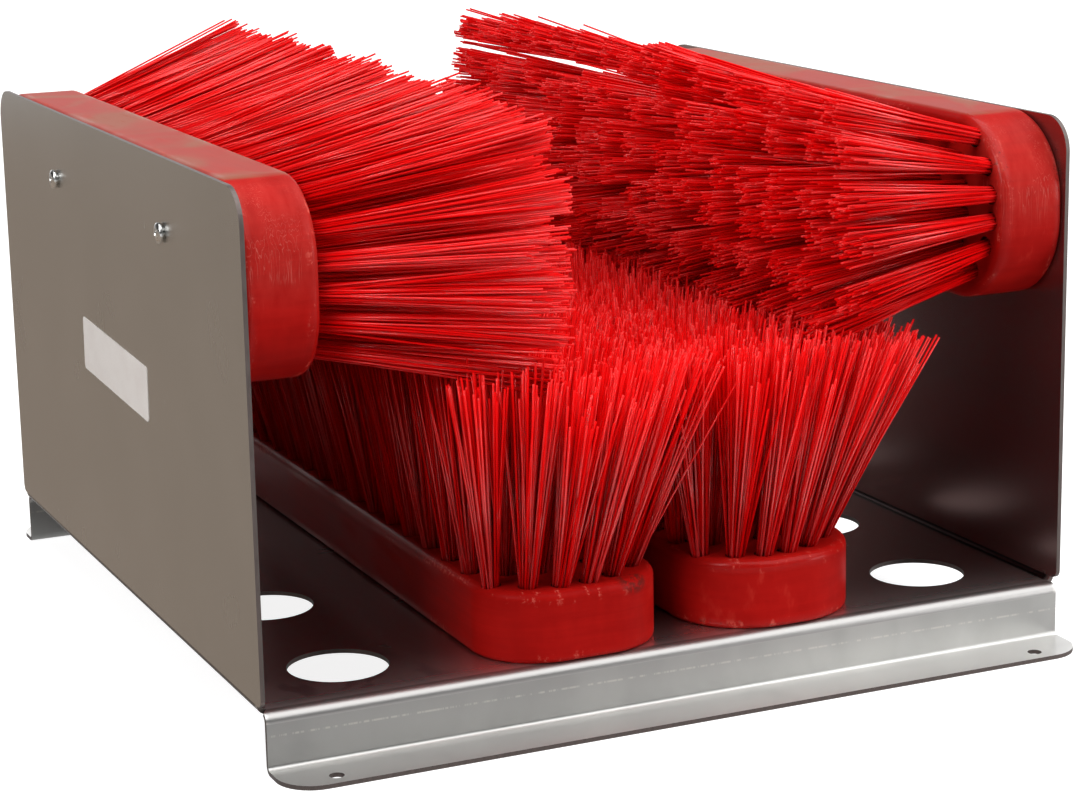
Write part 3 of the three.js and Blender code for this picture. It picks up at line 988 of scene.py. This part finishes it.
def block(name, place, corner, node, seed, rows, sense):
    """Painted wooden block with a drilled pit in its face for every tuft."""
    bm = bmesh.new()
    bmesh.ops.create_cube(bm, size=1)
    bmesh.ops.scale(bm, vec=(BLOCK_WIDTH, BLOCK_LENGTH, BLOCK_THICK), verts=bm.verts)
    bmesh.ops.translate(bm, vec=(0, BLOCK_LENGTH / 2, BLOCK_THICK / 2), verts=bm.verts)
    upright = [
        e for e in bm.edges if abs(e.verts[0].co.z - e.verts[1].co.z) > BLOCK_THICK / 2
    ]
    round_edges(bm, upright, corner, ROUND_STEPS["corner"])
    for height, offset, steps in (
        (BLOCK_THICK, FACE_EDGE, ROUND_STEPS["face"]),
        (0, BACK_EDGE, ROUND_STEPS["back"]),
    ):
        rim = [
            e
            for e in bm.edges
            if all(abs(v.co.z - height) < NEAR for v in e.verts)
            and any(abs(f.normal.z) < UPRIGHT for f in e.link_faces)
        ]
        round_edges(bm, rim, offset, steps)
    for height in (BACK_EDGE + RIM_FADE, BLOCK_THICK - FACE_EDGE - RIM_FADE):
        bmesh.ops.bisect_plane(
            bm,
            geom=bm.verts[:] + bm.edges[:] + bm.faces[:],
            plane_co=(0, 0, height),
            plane_no=(0, 0, 1),
        )

    pits = bmesh.new()
    rng = random.Random(seed)
    for place_on_face in tuft_places(rows, sense):
        centre = [p + rng.uniform(-s, s) for p, s in zip(place_on_face, PIT_STRAY)]
        bmesh.ops.create_cone(
            pits,
            cap_ends=True,
            segments=PIT_SIDES,
            radius1=PIT_RADIUS,
            radius2=PIT_RADIUS,
            depth=2 * PIT_DEPTH,
            matrix=Matrix.Translation((*centre, BLOCK_THICK)),
        )
    for face in pits.faces:
        face.material_index = 1
    bm = carve(bm, pits, (PAINT, PIT_SHADE))

    rim_layer = bm.verts.layers.float.new("rim")
    for vert in bm.verts:
        rise = vert.co.z
        at_face = BLOCK_THICK - FACE_EDGE - RIM_REACH < rise < BLOCK_THICK - FACE_GAP
        at_back = rise < BACK_EDGE + RIM_REACH
        in_pit = any(f.material_index for f in vert.link_faces)
        vert[rim_layer] = float((at_face or at_back) and not in_pit)
    for face in bm.faces:
        face.smooth = True
    bmesh.ops.transform(bm, matrix=place, verts=bm.verts)
    piece = piece_from(bm, name, [PAINT, PIT_SHADE], [node], BLOCK_SMOOTH)
    flat = piece.modifiers.new("flat_faces", "WEIGHTED_NORMAL")
    flat.keep_sharp = True
    return piece


def filament_pattern():
    """One straight filament, one long and one in radius, with a ring halfway."""
    bm = bmesh.new()
    bmesh.ops.create_cone(
        bm, cap_ends=True, segments=FILAMENT_SIDES, radius1=1, radius2=1, depth=1
    )
    bmesh.ops.translate(bm, vec=(0, 0, 0.5), verts=bm.verts)
    bmesh.ops.bisect_plane(
        bm,
        geom=bm.verts[:] + bm.edges[:] + bm.faces[:],
        plane_co=(0, 0, 0.5),
        plane_no=(0, 0, 1),
    )
    for face in bm.faces:
        face.smooth = abs(face.normal.z) < UPRIGHT
    mesh = bpy.data.meshes.new("filament_pattern")
    bm.to_mesh(mesh)
    bm.free()
    return mesh


def bristles(name, place, node, seed, rows, sense, hair):
    """Every tuft of a brush as a bundle of slightly splayed, slightly bent filaments.

    A filament whose tip would leave the room that the tips have is cut back.
    """
    rng = np.random.default_rng(seed)
    pattern = filament_pattern()
    flat = np.empty(len(pattern.vertices) * 3)
    pattern.vertices.foreach_get("co", flat)
    base = flat.reshape(-1, 3)
    height = base[:, 2:3]
    half_run = BLOCK_LENGTH / 2 - min(SETBACK)
    turn = np.array(place.to_3x3())
    shift = np.array(place.translation)
    low, high = (np.array(p) for p in ROOM)
    bm = bmesh.new()
    shades = []
    for u, v in tuft_places(rows, sense):
        part = (v - BLOCK_LENGTH / 2) / half_run
        across = (u - sense * rows["shift"]) / rows["outer"]
        lean = across * rows["spread"] + sense * rows["tilt"]
        lean -= sense * rows["droop"] * max(-part, 0) ** 2
        end = math.tan(math.radians(rows["ends"][part > 0])) * part
        axis = np.array([math.tan(math.radians(lean)), end, 1.0])
        axis[:2] += rng.normal(0, TUFT_STRAY, 2)
        tuft_length = BRISTLE + rng.normal(0, BRISTLE_STRAY)
        tuft_shade = rng.uniform(-TUFT_SHADE, TUFT_SHADE)
        for i in range(FILAMENTS):
            spoke = i * GOLDEN_TURN + rng.uniform(-SPOKE_STRAY, SPOKE_STRAY)
            reach = math.sqrt((i + 0.5) / FILAMENTS)
            offset = reach * np.array([math.cos(spoke), math.sin(spoke), 0.0])
            root = np.array([u, v, BLOCK_THICK - PIT_DEPTH - ROOT_SINK])
            root += offset * (TUFT_RADIUS - FILAMENT_RADIUS)
            way = axis + offset * hair["splay"]
            way[:2] += rng.normal(0, hair["stray"], 2)
            if rng.random() < ODD_SHARE:
                way[:2] += rng.normal(0, ODD_STRAY * hair["stray"], 2)
            way /= np.linalg.norm(way)
            length = tuft_length + rng.normal(0, hair["uneven"]) - DOME * reach**2 + PIT_DEPTH
            if rng.random() < SHORT_SHARE * hair["uneven"]:
                length -= rng.uniform(*SHORT_BY)
            bend = rng.normal(0, BEND, 3)
            side = np.cross(way, [0.0, 1.0, 0.0])
            side /= np.linalg.norm(side)
            up = np.cross(way, side)
            tip = turn @ (root + way * length + bend) + shift
            over = np.maximum(tip - high, 0) + np.minimum(tip - low, 0)
            if np.any(over):
                reach_out = turn @ (way * length + bend)
                cut = max(abs(o / r) for o, r in zip(over, reach_out) if o)
                length *= 1 - cut
                bend *= 1 - cut
            shape = root + height * way * length + height**2 * bend
            skin = shape + FILAMENT_RADIUS * (base[:, :1] * side + base[:, 1:2] * up)
            pattern.vertices.foreach_set("co", (skin @ turn.T + shift).ravel())
            bm.from_mesh(pattern)
            shades.append(min(max(rng.beta(*SHADE_SHAPE) + tuft_shade, 0), 1))
    piece = piece_from(bm, name, [PLASTIC], [node])
    for key, values in (
        ("shade", np.repeat(shades, len(base))),
        ("along", np.tile(base[:, 2], len(shades))),
    ):
        layer = piece.data.attributes.new(key, "FLOAT", "POINT")
        layer.data.foreach_set("value", values.astype(np.float32))
    bpy.data.meshes.remove(pattern)
    return piece


def brushes():
    """No two blocks share a seed, nor do two sets of tufts, so none are alike."""
    for seed, (word, side) in enumerate((("left", -1), ("right", 1))):
        for where, place, rows, sense, hair in (
            ("floor", floor_frame(side), FLOOR_TUFTS[side], 1, FLOOR_FILAMENTS),
            ("wall", wall_frame(side), WALL_TUFTS[side], side, WALL_FILAMENTS),
        ):
            name = f"{where}_{word}"
            corner = BLOCK_CORNER[where][side]
            block(f"brush_block_{name}", place, corner, f"block_{name}", seed, rows, sense)
            seed += SEED_STEP
            bristles(f"filaments_{name}", place, f"bristles_{name}", seed, rows, sense, hair)


# Small pieces


def screw_pattern():
    """Pan-head screw with a cross recess, its seat at the origin and its shank along -Z."""
    low_rim, high_rim = HEAD_SIDE
    crown = [CROWN_TURN * (i + 1) for i in range(CROWN_STEPS)]
    profile = [(0, -SHANK_LENGTH), (SHANK_RADIUS, POINT - SHANK_LENGTH), (SHANK_RADIUS, 0)]
    profile += [(COLLAR_RADIUS, 0), (COLLAR_RADIUS, COLLAR)]
    profile += [(HEAD_RADIUS - HEAD_BEVEL, COLLAR + HEAD_LIFT)]
    profile += [(HEAD_RADIUS, low_rim), (HEAD_RADIUS, high_rim)]
    profile += [(HEAD_RADIUS * math.cos(a), high_rim + CROWN * math.sin(a)) for a in crown]
    profile += [(0, high_rim + CROWN)]
    bm = bmesh.new()
    verts = [bm.verts.new((r, 0, z)) for r, z in profile]
    edges = [bm.edges.new(pair) for pair in zip(verts, verts[1:])]
    bmesh.ops.spin(
        bm,
        geom=verts + edges,
        axis=(0, 0, 1),
        cent=(0, 0, 0),
        angle=math.tau,
        steps=SCREW_SIDES,
        use_merge=True,
    )
    bmesh.ops.remove_doubles(bm, verts=bm.verts, dist=NEAR)
    bmesh.ops.recalc_face_normals(bm, faces=bm.faces)
    for turn in (0, math.pi / 2):
        slot = bmesh.new()
        bmesh.ops.create_cube(slot, size=1)
        bmesh.ops.scale(slot, vec=RECESS, verts=slot.verts)
        foot = [v for v in slot.verts if v.co.z < 0]
        bmesh.ops.scale(slot, vec=RECESS_TAPER, verts=foot)
        bmesh.ops.rotate(slot, matrix=Matrix.Rotation(turn, 3, "Z"), verts=slot.verts)
        bmesh.ops.translate(slot, vec=(0, 0, RECESS_CENTRE), verts=slot.verts)
        bm = carve(bm, slot)
    mesh = bpy.data.meshes.new("screw_pattern")
    bm.to_mesh(mesh)
    bm.free()
    return mesh


def screws():
    pattern = screw_pattern()
    for word, side in (("left", -1), ("right", 1)):
        for end, y in (("front", -SCREW_Y), ("rear", SCREW_Y)):
            turn = SCREW_TURN["start"] + SCREW_TURN["side"] * side + y * SCREW_TURN["each"]
            spin = Matrix.Rotation(turn, 4, "Z")
            across = Matrix.Translation((side * WIDTH / 2, y, SCREW_Z))
            across = across @ Matrix.Rotation(side * math.pi / 2, 4, "Y")
            under = Matrix.Translation((side * FLOOR_BLOCK_X[side], y, BASE_TOP - SHEET))
            under = under @ Matrix.Rotation(math.pi, 4, "X")
            for where, place in (("wall", across), ("floor", under)):
                bm = bmesh.new()
                bm.from_mesh(pattern)
                bmesh.ops.transform(bm, matrix=place @ spin, verts=bm.verts)
                for face in bm.faces:
                    face.smooth = True
                name = f"{where}_{word}_{end}"
                node = f"screw_{name}"
                piece_from(bm, f"pan_screw_{name}", [ZINC], [node], SCREW_SMOOTH)
    bpy.data.meshes.remove(pattern)


def label():
    """Blank film with rounded corners, laid on the left wall with a slight tilt."""
    along, high = LABEL_CENTRE
    bm = bmesh.new()
    bmesh.ops.create_cube(bm, size=1)
    bmesh.ops.scale(bm, vec=LABEL, verts=bm.verts)
    upright = [e for e in bm.edges if abs(e.verts[0].co.z - e.verts[1].co.z) > LABEL[2] / 2]
    round_edges(bm, upright, LABEL_CORNER, LABEL_CORNER_STEPS)
    bmesh.ops.translate(bm, vec=(0, 0, LABEL_GAP), verts=bm.verts)
    place = Matrix(((0, 0, -1, -WIDTH / 2), (1, 0, 0, along), (0, 1, 0, high), (0, 0, 0, 1)))
    place = place @ Matrix.Rotation(math.radians(LABEL_TILT), 4, "Z")
    bmesh.ops.transform(bm, matrix=place, verts=bm.verts)
    bmesh.ops.recalc_face_normals(bm, faces=bm.faces)
    piece_from(bm, "blank_label", [FILM], ["label"])


# Studio


def stage_sheet(name, bm, finish):
    """A flat sheet of the studio, in metres, with its finish."""
    mesh = bpy.data.meshes.new(name)
    bm.to_mesh(mesh)
    bm.free()
    mesh.materials.append(finish)
    made = bpy.data.objects.new(name, mesh)
    bpy.context.scene.collection.objects.link(made)
    return made


def floor():
    """Pale floor, as bright as the background where it is seen, and darker in mirrors.

    In mirrors it shows a painted shadow close around the tray and a painted glow beneath it.
    """
    pale = Finish("pale_floor", Roughness=1.0, Specular_IOR_Level=0.0)
    seen = pale.node("ShaderNodeLightPath", output="Is Camera Ray")
    mirrored = pale.node("ShaderNodeLightPath", output="Is Glossy Ray")
    through = pale.node("ShaderNodeLightPath", output="Is Transmission Ray")
    across, along = pale.parts(pale.place(), 0, 1)
    reach = across * across * across * across + along * along * along * along
    # Painted shadow in mirrors close around the tray, with a painted glow beneath it.
    clear = pale.step(reach, *PAINTED_SHADOW_EDGE)
    beneath = 1 - pale.step(reach, *PAINTED_GLOW_ZONE)
    part = MIRRORED["close"] + MIRRORED["clear"] * clear + MIRRORED["beneath"] * beneath
    pale.finish(
        Base_Color=(*FLOOR_GREY, 1),
        Emission_Color=pale.blend(seen + through + mirrored * part, (0, 0, 0), FLOOR_GLOW),
        Emission_Strength=1.0,
    )
    bm = bmesh.new()
    bmesh.ops.create_grid(bm, x_segments=2, y_segments=2, size=FLOOR_HALF)
    stage_sheet("studio_floor", bm, pale.material)


def warm_card():
    """A warm grey card beside the tray, seen only in mirrors, mostly in the left wall."""
    card = Finish("warm_card", Base_Color=(0, 0, 0, 1), Roughness=1.0, Specular_IOR_Level=0.0)
    card.finish(Emission_Color=(*CARD_TONE, 1), Emission_Strength=1.0)
    bm = bmesh.new()
    bmesh.ops.create_grid(bm, x_segments=2, y_segments=2, size=0.5)
    bmesh.ops.scale(bm, vec=(*CARD_SIZE, 1), verts=bm.verts)
    bmesh.ops.translate(bm, vec=CARD_CENTRE, verts=bm.verts)
    made = stage_sheet("warm_card", bm, card.material)
    made.visible_camera = False
    made.visible_diffuse = False
    made.visible_shadow = False
    made.visible_transmission = False


def lamp(name, place, size, power):
    """A soft rectangular lamp that points at the tray."""
    light = bpy.data.lights.new(name, "AREA")
    light.shape = "RECTANGLE"
    light.size, light.size_y = size
    light.energy = power
    made = bpy.data.objects.new(name, light)
    made.location = place
    way = Vector(LAMP_AIM) - Vector(place)
    made.rotation_euler = way.to_track_quat("-Z", "Y").to_euler()
    made.visible_camera = False
    bpy.context.scene.collection.objects.link(made)


def studio():
    floor()
    warm_card()
    world = bpy.data.worlds.new("studio")
    world.use_nodes = True
    back = world.node_tree.nodes["Background"]
    back.inputs["Color"].default_value = (1, 1, 1, 1)
    back.inputs["Strength"].default_value = WORLD_LIGHT
    bpy.context.scene.world = world
    for name, settings in LAMPS.items():
        lamp(name, **settings)


def camera():
    """Stands where the photograph was taken from."""
    eye = Vector(CAMERA_EYE) * MM
    turn, tilt, roll = (math.radians(angle) for angle in CAMERA_ANGLES)
    back = Vector(
        (math.sin(turn) * math.cos(tilt), -math.cos(turn) * math.cos(tilt), math.sin(tilt))
    )
    right = (-back).cross(Vector((0, 0, 1))).normalized()
    up = right.cross(-back)
    right, up = (
        math.cos(roll) * right + math.sin(roll) * up,
        math.cos(roll) * up - math.sin(roll) * right,
    )
    data = bpy.data.cameras.new("photo_camera")
    data.sensor_width = CAMERA_SENSOR
    data.sensor_fit = "HORIZONTAL"
    data.lens = CAMERA_LENS
    made = bpy.data.objects.new("photo_camera", data)
    made.matrix_world = Matrix.Translation(eye) @ Matrix((right, up, back)).transposed().to_4x4()
    bpy.context.scene.collection.objects.link(made)
    bpy.context.scene.camera = made


tray()
brushes()
screws()
label()
studio()
camera()
bpy.context.scene.view_settings.view_transform = "Standard"
